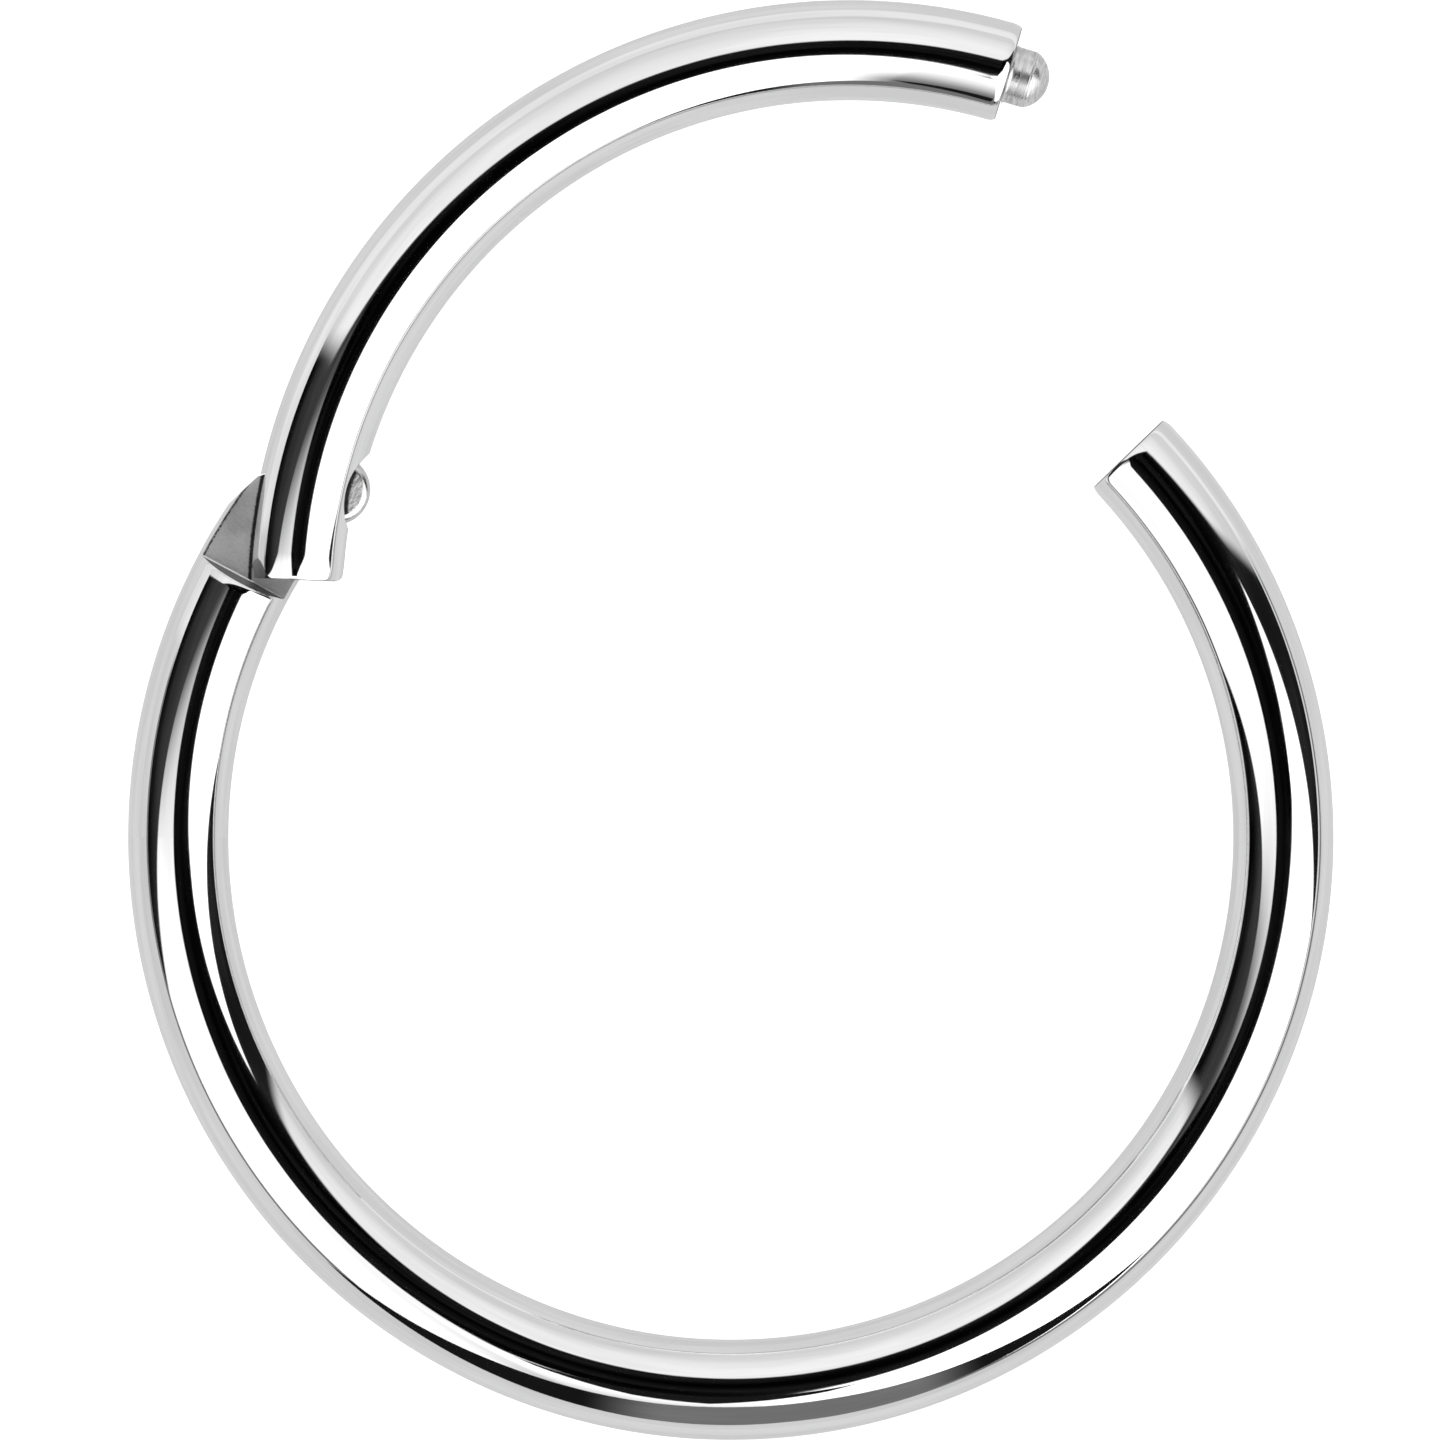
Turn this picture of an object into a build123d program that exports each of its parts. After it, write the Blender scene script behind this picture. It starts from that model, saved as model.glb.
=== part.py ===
from build123d import *
from math import asin, atan2, cos, degrees, radians, sin, sqrt, tan
import os

# A hinged segment ring of round wire, lying flat and fully open. All lengths are in millimetres and
# all angles in degrees. Both arcs are drawn as they lie in the closed ring, seen from above with the
# ring's centre at the middle, and the short arc is then placed swung open about the hinge.

# Wire and ring
wire_diameter = 1.2
ring_inner_diameter = 12.0
free_end_angle = 44.0
face_gap = 0.04
rim_rounding = 0.04

# Hinge: where it stands and how far it opens
pivot_angle = 138.7
pivot_inset = 0.31
opening_angle = 28.9
heel_reach = 1.095
stop_gap = 0.045

# Tongue, knuckle and shoulders of the large arc
knuckle_radius = 0.42
knuckle_rounding = 0.11
tongue_thickness = 0.46
tongue_tip_facing = 92.8
shoulder_lean = 12.0
shoulder_root_rounding = 0.03

# Fork of the segment
side_gap = 0.02
slot_end_gap = 0.03
relief_radius = 0.82
relief_wall = 0.03
facet_length = 0.26
facet_depth = 0.04
facet_elevation = 35.0

# Hinge pin
hinge_pin_diameter = 0.18
hinge_pin_running_gap = 0.02
hinge_pin_seat_gap = 0.01
hinge_pin_cover = 0.04
hinge_pin_chamfer = 0.02

# Closure pin, its seat in the segment and its socket in the large arc
closure_pin_diameter = 0.69
closure_pin_length = 0.49
closure_dome_height = 0.225
closure_flare = 0.03
closure_seat_depth = 0.8
closure_seat_gap = 0.01
socket_gap = 0.015
socket_end_gap = 0.03
socket_rim = 0.07

# Sizes that follow from these
wire_radius = wire_diameter / 2
mean_radius = ring_inner_diameter / 2 + wire_radius
pivot_radius = mean_radius - pivot_inset
slot_width = tongue_thickness + 2 * side_gap
slot_radius = knuckle_radius + slot_end_gap
heel_angle = pivot_angle + degrees(asin(heel_reach / pivot_radius))
segment_end_angle = free_end_angle + degrees(face_gap / mean_radius)
tongue_start_angle = pivot_angle - degrees(2 * slot_radius / pivot_radius)
hinge_hole_radius = hinge_pin_diameter / 2 + hinge_pin_seat_gap
hinge_hole_half = sqrt(wire_radius**2 - (pivot_inset + hinge_hole_radius) ** 2) - hinge_pin_cover
relief_center_radius = pivot_radius - hinge_hole_radius - relief_wall - relief_radius
closure_radius = closure_pin_diameter / 2
dome_radius = (closure_radius**2 + closure_dome_height**2) / (2 * closure_dome_height)
dome_center_reach = closure_pin_length - dome_radius
socket_radius = closure_radius + socket_gap
far = 4 * wire_diameter


def direction(angle):
    """The level unit vector at this angle."""
    return Vector(cos(radians(angle)), sin(radians(angle)))


# The hinge, the ring's centre as the open segment carries it along, and the frames of the two arcs:
# the ring stands so that its open outline is centred on the origin
pivot = direction(pivot_angle) * pivot_radius
carried_center = pivot - direction(pivot_angle + opening_angle) * pivot_radius
ring_plane = Plane(origin=(0, -carried_center.Y / 2, wire_radius))
segment_plane = Plane(
    origin=ring_plane.origin + carried_center,
    x_dir=direction(opening_angle),
    z_dir=(0, 0, 1),
)
ring_axis = Axis(ring_plane.origin, (0, 0, 1))
segment_axis = Axis(segment_plane.origin, (0, 0, 1))
hinge_axis = Axis(ring_plane.from_local_coords(pivot), (0, 0, 1))

# The shoulders stand where the outer corners of the open heel come to rest
cheek_half_width = sqrt(wire_radius**2 - (slot_width / 2) ** 2)
closed_corner = direction(heel_angle) * (mean_radius + cheek_half_width)
open_corner = pivot + (closed_corner - pivot).rotate(Axis.Z, opening_angle)
shoulder_angle = degrees(atan2(open_corner.Y, open_corner.X) + asin(stop_gap / open_corner.length))


def across_wire(arc_plane, angle):
    """The plane square to the wire at this angle: x points outwards, z the way the angles grow."""
    outwards = arc_plane.x_dir.rotate(Axis.Z, angle)
    return Plane(
        origin=arc_plane.from_local_coords(direction(angle) * mean_radius),
        x_dir=outwards,
        z_dir=outwards.rotate(Axis.Z, 90),
    )


def hinge_area(radius, facing, heel_side):
    """Corners of the area on one side of the hinge: it is bounded by the line from the ring's centre
    to the pivot and by a wall that touches a circle about the pivot and faces this way."""
    normal = direction(facing)
    along = normal.rotate(Axis.Z, 90)
    touch = pivot + normal * radius
    if heel_side:
        beyond = [pivot + (along - normal) * far]
    else:
        beyond = [touch + (along + normal) * far, pivot + (normal - along) * far]
    return [pivot, touch, touch + along * far, *beyond, pivot - direction(pivot_angle) * far]


# Socket: a straight bore for the closed pin and the path that its dome takes on the way in
mouth_plane = across_wire(ring_plane, segment_end_angle)
dome_center = mouth_plane.origin - mouth_plane.z_dir * dome_center_reach
pivot_to_dome = dome_center - hinge_axis.position
pivot_to_dome.Z = 0
with BuildPart() as socket:
    with BuildSketch(Plane(dome_center, pivot_to_dome, pivot_to_dome.rotate(Axis.Z, 90))):
        Circle(dome_radius + socket_gap)
    revolve(axis=hinge_axis, revolution_arc=degrees(2 * wire_diameter / pivot_to_dome.length))
    with BuildSketch(mouth_plane):
        Circle(wire_radius - socket_rim)
    extrude(amount=2 * wire_diameter, both=True, mode=Mode.INTERSECT)
    with BuildSketch(mouth_plane):
        Circle(socket_radius)
    extrude(amount=-closure_pin_length - socket_end_gap)

# Large arc: the wire, cut back above and below the tongue, with a round knuckle at the tongue's tip
with BuildPart() as ring_arc:
    with BuildSketch(across_wire(ring_plane, tongue_start_angle)):
        Circle(wire_radius)
    revolve(axis=ring_axis, revolution_arc=free_end_angle + 360 - tongue_start_angle)
    free_end = across_wire(ring_plane, free_end_angle)
    fillet(ring_arc.faces().sort_by_distance(free_end.origin)[0].edges(), rim_rounding)

    shoulder = across_wire(ring_plane, shoulder_angle)
    with BuildSketch(Plane(shoulder.origin, -shoulder.z_dir, -shoulder.x_dir)) as shoulder_cut:
        with BuildLine():
            root = Vector(0, tongue_thickness / 2)
            crest = root + Vector(-tan(radians(shoulder_lean)), 1) * wire_radius
            Polyline(root, crest, (far, crest.Y), (far, root.Y), close=True)
        make_face()
        fillet(shoulder_cut.vertices().sort_by_distance(root)[0], shoulder_root_rounding)
        mirror(about=Plane.XZ)
    extrude(amount=wire_diameter, both=True, mode=Mode.SUBTRACT)

    with BuildSketch(ring_plane):
        with BuildLine():
            Polyline(hinge_area(knuckle_radius, tongue_tip_facing, False), close=True)
        make_face()
    extrude(amount=wire_diameter, both=True, mode=Mode.SUBTRACT)

    with BuildSketch(Plane(hinge_axis.position, (1, 0, 0), (0, -1, 0))) as knuckle:
        Rectangle(knuckle_radius, tongue_thickness, align=(Align.MIN, Align.CENTER))
        fillet(knuckle.vertices().group_by(Axis.X)[-1], knuckle_rounding)
    revolve(axis=hinge_axis)

    with BuildSketch(ring_plane):
        with Locations(pivot):
            Circle(hinge_pin_diameter / 2 + hinge_pin_running_gap)
    extrude(amount=tongue_thickness, both=True, mode=Mode.SUBTRACT)
    add(socket.part, mode=Mode.SUBTRACT)

# Segment: the wire, slotted into two cheeks at the heel, with a seat for the closure pin at its end
heel = across_wire(segment_plane, heel_angle)
end_face = across_wire(segment_plane, segment_end_angle)
with BuildPart() as hinge_segment:
    with BuildSketch(end_face):
        Circle(wire_radius)
    revolve(axis=segment_axis, revolution_arc=heel_angle - segment_end_angle)
    fillet(hinge_segment.faces().sort_by_distance(end_face.origin)[0].edges(), rim_rounding)

    with BuildSketch(segment_plane):
        with BuildLine():
            Polyline(hinge_area(slot_radius, tongue_tip_facing - opening_angle, True), close=True)
        make_face()
        with Locations(pivot):
            Circle(slot_radius)
    extrude(amount=slot_width / 2, both=True, mode=Mode.SUBTRACT)

    with BuildSketch(segment_plane):
        with Locations(direction(pivot_angle) * relief_center_radius):
            Circle(relief_radius)
    extrude(amount=wire_diameter, both=True, mode=Mode.SUBTRACT)

    for elevation in (facet_elevation, -facet_elevation):
        outwards = heel.x_dir * cos(radians(elevation)) + Vector(0, 0, sin(radians(elevation)))
        facing = outwards + heel.z_dir * (facet_depth / facet_length)
        with BuildSketch(Plane(heel.origin + outwards * (wire_radius - facet_depth), z_dir=facing)):
            Rectangle(wire_diameter, wire_diameter)
        extrude(amount=wire_radius, mode=Mode.SUBTRACT)

    with BuildSketch(segment_plane):
        with Locations(pivot):
            Circle(hinge_hole_radius)
    extrude(amount=hinge_hole_half, both=True, mode=Mode.SUBTRACT)

    with BuildSketch(end_face):
        Circle(closure_radius + closure_seat_gap)
    extrude(amount=closure_seat_depth + closure_seat_gap, mode=Mode.SUBTRACT)

# Hinge pin: it turns in the knuckle and its ends are covered by the polished cheeks
with BuildPart() as hinge_pin:
    with BuildSketch(Plane(hinge_axis.position)):
        Circle(hinge_pin_diameter / 2)
    extrude(amount=hinge_hole_half - hinge_pin_seat_gap, both=True)
    chamfer(hinge_pin.edges().filter_by(GeomType.CIRCLE), hinge_pin_chamfer)

# Closure pin: seated in the segment's end, flared where it leaves the face, with a domed tip
with BuildPart() as closure_pin:
    with BuildSketch(Plane(end_face.origin, -end_face.z_dir, (0, 0, 1))):
        with BuildLine():
            half_dome = asin(closure_radius / dome_radius) / 2
            flare_base = closure_seat_gap
            shoulder_of_dome = closure_pin_length - closure_dome_height
            Polyline(
                (-closure_seat_depth, 0),
                (-closure_seat_depth, closure_radius),
                (flare_base, closure_radius),
                (flare_base, closure_radius + closure_flare),
                (flare_base + closure_flare, closure_radius),
                (shoulder_of_dome, closure_radius),
            )
            ThreePointArc(
                (shoulder_of_dome, closure_radius),
                (dome_center_reach + dome_radius * cos(half_dome), dome_radius * sin(half_dome)),
                (closure_pin_length, 0),
            )
            Line((closure_pin_length, 0), (-closure_seat_depth, 0))
        make_face()
    revolve(axis=Axis(end_face.origin, -end_face.z_dir))

os.makedirs("parts", exist_ok=True)
ring_arc.part.label = "ring_arc"
export_step(ring_arc.part, "parts/ring_arc.step")
hinge_segment.part.label = "hinge_segment"
export_step(hinge_segment.part, "parts/hinge_segment.step")
hinge_pin.part.label = "hinge_pin"
export_step(hinge_pin.part, "parts/hinge_pin.step")
closure_pin.part.label = "closure_pin"
export_step(closure_pin.part, "parts/closure_pin.step")
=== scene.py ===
"""A hinged segment ring of polished steel wire, swung open and lying flat on a white studio floor."""

import logging
import math
from dataclasses import dataclass
from enum import Enum, IntEnum
from functools import reduce

import bmesh
import bpy
from bmesh.types import BMEdge, BMesh, BMFace, BMVert
from mathutils import Matrix, Vector
from mathutils.bvhtree import BVHTree


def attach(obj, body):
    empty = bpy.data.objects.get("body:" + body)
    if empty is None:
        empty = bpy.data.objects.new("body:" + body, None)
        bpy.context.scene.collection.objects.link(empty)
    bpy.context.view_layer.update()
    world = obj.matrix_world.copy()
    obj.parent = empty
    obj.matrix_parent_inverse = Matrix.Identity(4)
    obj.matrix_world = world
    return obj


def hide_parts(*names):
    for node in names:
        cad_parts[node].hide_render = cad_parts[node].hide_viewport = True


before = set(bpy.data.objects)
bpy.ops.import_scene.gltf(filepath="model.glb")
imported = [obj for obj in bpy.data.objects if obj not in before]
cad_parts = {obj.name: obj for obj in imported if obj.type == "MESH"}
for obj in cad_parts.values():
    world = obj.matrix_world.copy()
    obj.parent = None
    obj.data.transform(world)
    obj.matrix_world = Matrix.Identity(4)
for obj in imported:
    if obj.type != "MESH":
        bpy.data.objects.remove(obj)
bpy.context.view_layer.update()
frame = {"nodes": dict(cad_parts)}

Socket = bpy.types.NodeSocket
Material = bpy.types.Material
Thing = bpy.types.Object
Tint = tuple[float, float, float]
Ramp = tuple[float, ...]

LOG = logging.getLogger("segment_ring")
MILLIMETRE = 0.001
ROUND_THE_WIRE = 128
BORE_SIDES = 48
SHARP_ANGLE = 30.0
LEVEL = 0.99
TINY = 1e-6
NO_AREA = 1e-12
NOISE_SPAN = (0.3, 0.7)
NOISE_MIDDLE = (0.36, 0.64)
UP = Vector((0, 0, 1))


class Surface(IntEnum):
    """The finishes on one piece, in the order of its material slots."""

    POLISHED = 0
    GROUND = 1
    FACED = 2
    SHADED = 3
    SATIN = 4
    EDGE = 5


class Cut(Enum):
    """How a tool solid changes a blank."""

    AWAY = "DIFFERENCE"
    ADDED = "UNION"


# Sizes and places


def direction(angle: float) -> Vector:
    """The level unit vector at an angle in degrees."""
    return Vector((math.cos(math.radians(angle)), math.sin(math.radians(angle)), 0.0))


def framed(origin: Vector, x: Vector, y: Vector, z: Vector) -> Matrix:
    """The frame with this origin and these axes."""
    return Matrix.Translation(origin) @ Matrix((x, y, z)).transposed().to_4x4()


@dataclass(frozen=True)
class RingSizes:
    """Sizes that both arcs share, in millimetres and degrees, with the ring closed round the origin."""

    wire_radius: float = 0.6
    mean_radius: float = 6.6
    free_end_angle: float = 44.0
    segment_end_angle: float = 44.34724
    pivot_angle: float = 138.7
    pivot_radius: float = 6.29
    heel_angle: float = 148.72546
    shoulder_angle: float = 151.97169
    opening_angle: float = 28.9
    tongue_half: float = 0.23
    slot_half: float = 0.25
    knuckle_radius: float = 0.42
    slot_radius: float = 0.435
    tip_facing: float = 107.0
    far: float = 4.8

    @property
    def pivot(self) -> Vector:
        """The hinge's centre in the closed ring."""
        return direction(self.pivot_angle) * self.pivot_radius

    @property
    def ring_frame(self) -> Matrix:
        """Where the closed ring's centre lies on the floor."""
        carried = self.pivot - direction(self.pivot_angle + self.opening_angle) * self.pivot_radius
        return Matrix.Translation((0.0, -carried.y / 2, self.wire_radius))

    @property
    def segment_frame(self) -> Matrix:
        """Where the open segment carries the ring's centre and how far it is turned."""
        about_pivot = Matrix.Rotation(math.radians(self.opening_angle), 4, "Z")
        there = Matrix.Translation(self.pivot)
        return self.ring_frame @ there @ about_pivot @ there.inverted()

    def across(self, angle: float) -> Matrix:
        """The frame square to the wire at an angle: x points outwards, z the way the angles grow."""
        outwards = direction(angle)
        return framed(outwards * self.mean_radius, outwards, -UP, direction(angle + 90))


SIZES = RingSizes()
THROUGH = 2 * SIZES.wire_radius


# Solids


@dataclass(frozen=True)
class Station:
    """One step of a wire's end: how far past the end plane, how wide, and what the step is made of."""

    reach: float
    radius: float
    surface: Surface


def only(kind: type, geometry: list) -> list:
    """Those parts of some geometry that are of one kind."""
    return [part for part in geometry if isinstance(part, kind)]


def linked(name: str, data: bpy.types.ID) -> Thing:
    """Makes an object and links it to the scene.

    Args:
        name: Its name.
        data: Its mesh or camera.

    Returns:
        The object.
    """
    thing = bpy.data.objects.new(name, data)
    bpy.context.scene.collection.objects.link(thing)
    return thing


class Solid:
    """A closed solid in millimetres, shaped with bmesh operators and cut with other solids."""

    def __init__(self) -> None:
        """Starts with nothing in it."""
        self.bm = bmesh.new()

    @staticmethod
    def prism(corners: list[Vector], half_height: float, surface: Surface = Surface.GROUND) -> "Solid":
        """An upright prism, level with the wire's middle.

        Args:
            corners: The outline's corners, in order.
            half_height: How far it goes up and down.
            surface: The finish that it leaves.

        Returns:
            The solid.
        """
        solid = Solid()
        face = solid.bm.faces.new([solid.bm.verts.new((c.x, c.y, -half_height)) for c in corners])
        grown = bmesh.ops.extrude_face_region(solid.bm, geom=[face])["geom"]
        bmesh.ops.translate(solid.bm, verts=only(BMVert, grown), vec=(0, 0, 2 * half_height))
        return solid.finished(surface)

    @staticmethod
    def drum(centre: Vector, radius: float, half_height: float, segments: int = 96,
             surface: Surface = Surface.GROUND, rounding: float = 0.0) -> "Solid":
        """An upright cylinder whose rims may be rounded.

        Args:
            centre: Its middle.
            radius: Its radius.
            half_height: How far it goes up and down.
            segments: How many sides it has.
            surface: The finish that it leaves.
            rounding: The radius of its rims, or 0 for sharp ones.

        Returns:
            The solid.
        """
        solid = Solid()
        bmesh.ops.create_cone(solid.bm, cap_ends=True, segments=segments, radius1=radius, radius2=radius,
                              depth=2 * half_height, matrix=Matrix.Translation(centre))
        if rounding:
            rims = [e for e in solid.bm.edges if abs(e.verts[0].co.z - e.verts[1].co.z) < TINY]
            solid.round_off(rims, rounding, 10)
        return solid.finished(surface)

    def round_off(self, edges: list[BMEdge], reach: float, segments: int) -> None:
        """Rounds some edges.

        Args:
            edges: The edges.
            reach: How far the rounding goes over the faces beside them.
            segments: How many steps it has.
        """
        bmesh.ops.bevel(self.bm, geom=edges, offset=reach, offset_type="OFFSET", segments=segments,
                        profile=0.5, affect="EDGES", material=-1)

    def finished(self, surface: Surface | None = None) -> "Solid":
        """Turns all faces outwards.

        Args:
            surface: The finish for every face, or None to leave the finishes.

        Returns:
            This solid.
        """
        bmesh.ops.recalc_face_normals(self.bm, faces=self.bm.faces)
        for face in self.bm.faces:
            face.smooth = True
            if surface is not None:
                face.material_index = surface
        return self

    def moved(self, matrix: Matrix) -> "Solid":
        """Moves the solid and returns it."""
        bmesh.ops.transform(self.bm, matrix=matrix, verts=self.bm.verts)
        return self

    def to_mesh(self, name: str) -> bpy.types.Mesh:
        """The solid as a new mesh.

        Args:
            name: The mesh's name.

        Returns:
            The mesh.
        """
        mesh = bpy.data.meshes.new(name)
        self.bm.to_mesh(mesh)
        return mesh

    def changed_by(self, cut: Cut, *tools: "Solid") -> None:
        """Cuts tools away from the solid or joins them to it, one after another.

        Args:
            cut: Whether they go away or are added.
            tools: The tool solids, which are used up.
        """
        for tool in tools:
            blank, other = linked("blank", self.to_mesh("blank")), linked("tool", tool.to_mesh("tool"))
            for made in (blank, other):
                for _ in Surface:
                    made.data.materials.append(None)
            change = blank.modifiers.new("change", "BOOLEAN")
            change.operation, change.solver, change.material_mode = cut.value, "EXACT", "INDEX"
            change.object = other
            depsgraph = bpy.context.evaluated_depsgraph_get()
            result = bpy.data.meshes.new_from_object(blank.evaluated_get(depsgraph))
            self.bm.clear()
            self.bm.from_mesh(result)
            tool.bm.free()
            for mesh in (result, blank.data, other.data):
                bpy.data.meshes.remove(mesh)


class SmoothGuide:
    """The soft surface of an uncut blank, which gives a cut piece its true polished normals."""

    def __init__(self, solid: Solid, lean: Matrix = Matrix.Identity(3)) -> None:
        """Keeps the shape and the normals of a solid as it is now.

        Args:
            solid: The uncut blank.
            lean: A small turn of all its normals, for wire that the buffing left slightly out of round.
        """
        solid.bm.normal_update()
        self.lean = lean
        self.shape = solid.bm.copy()
        bmesh.ops.triangulate(self.shape, faces=self.shape.faces)
        self.shape.faces.ensure_lookup_table()
        self.tree = BVHTree.FromBMesh(self.shape)

    def normal_at(self, place: Vector) -> Vector:
        """The blank's own normal at the place on it nearest to this one.

        Args:
            place: A place on the finished piece, in millimetres.

        Returns:
            A unit vector.
        """
        near, flat, index, _ = self.tree.find_nearest(place)
        corners = self.shape.faces[index].verts
        first, second, third = (v.co for v in corners)
        whole = (second - first).cross(third - first).length
        if whole < NO_AREA:
            return flat
        shares = ((second - near).cross(third - near).length / whole,
                  (third - near).cross(first - near).length / whole,
                  (first - near).cross(second - near).length / whole)
        return self.lean @ sum((v.normal * s for v, s in zip(corners, shares)), Vector()).normalized()


class Wire(Solid):
    """A length of round wire bent along the ring, with ends made of stations."""

    def __init__(self, start: float, end: float, steps: int, low_end: list[Station],
                 high_end: list[Station]) -> None:
        """Bends the wire and shapes both ends.

        Args:
            start: The angle of the first end plane, in degrees.
            end: The angle of the last end plane.
            steps: How many rings of faces the bend has.
            low_end: The stations of the first end.
            high_end: The stations of the last end.
        """
        super().__init__()
        first = start - self.turn(low_end[0].reach)
        last = end + self.turn(high_end[0].reach)
        ring = bmesh.ops.create_circle(self.bm, segments=ROUND_THE_WIRE, radius=SIZES.wire_radius,
                                       matrix=SIZES.across(first))["verts"]
        edges = list({e for v in ring for e in v.link_edges})
        spun = bmesh.ops.spin(self.bm, geom=edges, cent=(0, 0, 0), axis=UP, steps=steps,
                              angle=math.radians(last - first), use_duplicate=False)["geom_last"]
        for face in self.bm.faces:
            face.material_index = Surface.POLISHED
        self.end_off(edges, start, -1, low_end)
        self.end_off(only(BMEdge, spun), end, 1, high_end)
        self.finished()

    @staticmethod
    def turn(reach: float) -> float:
        """The angle in degrees of a length along the wire's middle."""
        return math.degrees(reach / SIZES.mean_radius)

    def end_off(self, edges: list[BMEdge], plane: float, way: int, stations: list[Station]) -> None:
        """Grows one end, station by station, and closes it with a flat face.

        Args:
            edges: The open ring of edges at this end.
            plane: The angle of the end plane, in degrees.
            way: 1 if the angles grow past this end, else -1.
            stations: The end's stations, of which the first is where the bend stops.
        """
        here = stations[0]
        for there in stations[1:]:
            start = SIZES.across(plane + way * self.turn(here.reach))
            finish = SIZES.across(plane + way * self.turn(there.reach))
            wider = Matrix.Diagonal((there.radius / here.radius, there.radius / here.radius, 1.0, 1.0))
            grown = bmesh.ops.extrude_edge_only(self.bm, edges=edges)["geom"]
            verts = only(BMVert, grown)
            bmesh.ops.transform(self.bm, matrix=finish @ wider @ start.inverted(), verts=verts)
            for face in only(BMFace, grown):
                face.material_index = there.surface
            edges = [e for e in only(BMEdge, grown) if set(e.verts) <= set(verts)]
            here = there
        for face in bmesh.ops.contextual_create(self.bm, geom=edges)["faces"]:
            face.material_index = here.surface


def soft_rim(reach: float, drop: float, edge_steps: int = 4, steps: int = 14) -> list[Station]:
    """The stations of an end whose rim was rounded by polishing.

    Args:
        reach: How far from the end plane the rounding starts.
        drop: How much narrower the wire is at the end plane.
        edge_steps: How many rings of faces at the end plane take the darker edge finish.
        steps: How many rings of faces the rim has.

    Returns:
        Stations from where the bend stops to the end plane.
    """
    made = []
    for step in range(steps + 1):
        turn = math.radians(90 * step / steps)
        surface = Surface.EDGE if step > steps - edge_steps else Surface.POLISHED
        radius = SIZES.wire_radius - drop * (1 - math.cos(turn))
        made.append(Station(reach * (math.sin(turn) - 1), radius, surface))
    return made


def dress(solid: Solid, name: str, matrix: Matrix, materials: list[Material],
          guide: SmoothGuide | None = None) -> Thing:
    """Makes a piece of the object from a solid.

    Args:
        solid: The finished solid in millimetres, which is used up.
        name: The piece's name.
        matrix: Where the solid goes in the row frame, in millimetres.
        materials: The material of each slot.
        guide: The soft surface that the polished faces and the darker edge faces follow, if there is one.

    Returns:
        The piece, linked to the scene and in metres.
    """
    solid.bm.edges.index_update()
    borders = [e.index for e in solid.bm.edges if len({f.material_index for f in e.link_faces}) > 1]
    mesh = solid.to_mesh(name)
    solid.bm.free()
    mesh.shade_smooth()
    mesh.set_sharp_from_angle(angle=math.radians(SHARP_ANGLE))
    for border in borders:
        mesh.edges[border].use_edge_sharp = True
    normals = [Vector(n.vector) for n in mesh.corner_normals]
    known: dict[int, Vector] = {}
    for face in mesh.polygons:
        if guide is None or face.material_index not in (Surface.POLISHED, Surface.EDGE):
            continue
        for loop in face.loop_indices:
            vertex = mesh.loops[loop].vertex_index
            if vertex not in known:
                known[vertex] = guide.normal_at(mesh.vertices[vertex].co)
            normals[loop] = known[vertex]
    turned = matrix.to_3x3()
    mesh.transform(Matrix.Diagonal((MILLIMETRE,) * 3 + (1.0,)) @ matrix)
    mesh.normals_split_custom_set([tuple(turned @ n) for n in normals])
    for material in materials:
        mesh.materials.append(material)
    return linked(name, mesh)


# Finishes


class Nodes:
    """A node tree that is written as short calls."""

    def __init__(self, tree: bpy.types.NodeTree) -> None:
        """Takes over a node tree and clears it."""
        self.tree = tree
        tree.nodes.clear()

    def add(self, kind: str, values: dict | None = None, **settings: object) -> bpy.types.Node:
        """Adds one node.

        Args:
            kind: Its type without the ShaderNode in front.
            values: Its inputs by name or number: a socket to link, or a value to set.
            settings: Its own settings.

        Returns:
            The node.
        """
        node = self.tree.nodes.new(kind if kind.startswith("NodeGroup") else "ShaderNode" + kind)
        for name, value in settings.items():
            setattr(node, name, value)
        for name, value in (values or {}).items():
            if isinstance(value, Socket):
                self.tree.links.new(value, node.inputs[name])
            else:
                node.inputs[name].default_value = value
        return node

    def math(self, operation: str, *values: object) -> Socket:
        """The result of a math node on sockets or numbers."""
        return self.add("Math", dict(enumerate(values)), operation=operation).outputs[0]

    def product(self, *values: object) -> Socket:
        """The product of sockets or numbers."""
        return reduce(lambda one, other: self.math("MULTIPLY", one, other), values)

    def vector(self, operation: str, *values: object) -> Socket:
        """The result of a vector math node on sockets or vectors."""
        node = self.add("VectorMath", dict(enumerate(values)), operation=operation)
        return node.outputs["Value" if operation in ("DOT_PRODUCT", "LENGTH") else "Vector"]

    def scaled(self, colour: Socket, share: Socket | float) -> Socket:
        """A colour or vector times a number."""
        return self.add("VectorMath", {0: colour, "Scale": share}, operation="SCALE").outputs[0]

    def mixed(self, share: Socket, low: Socket | Tint, high: Socket | Tint) -> Socket:
        """A colour between two, each of which is a socket or a tint."""
        ends = [end if isinstance(end, Socket) else (*end, 1) for end in (low, high)]
        return self.add("Mix", {0: share, 6: ends[0], 7: ends[1]}, data_type="RGBA").outputs[2]

    def grouped(self, name: str, values: dict) -> bpy.types.Node:
        """The node of a node group, with its inputs by name."""
        return self.add("Group", values, node_tree=bpy.data.node_groups[name])

    def step(self, value: Socket, low: float, high: float, below: float = 0.0, above: float = 1.0) -> Socket:
        """A smooth step.

        Args:
            value: The socket that is read.
            low: Where the step starts.
            high: Where it ends.
            below: The result under the step.
            above: The result over it.

        Returns:
            The result's socket.
        """
        values = {"Value": value, "From Min": low, "From Max": high, "To Min": below, "To Max": above}
        return self.add("MapRange", values, interpolation_type="SMOOTHSTEP", clamp=True).outputs[0]


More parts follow.
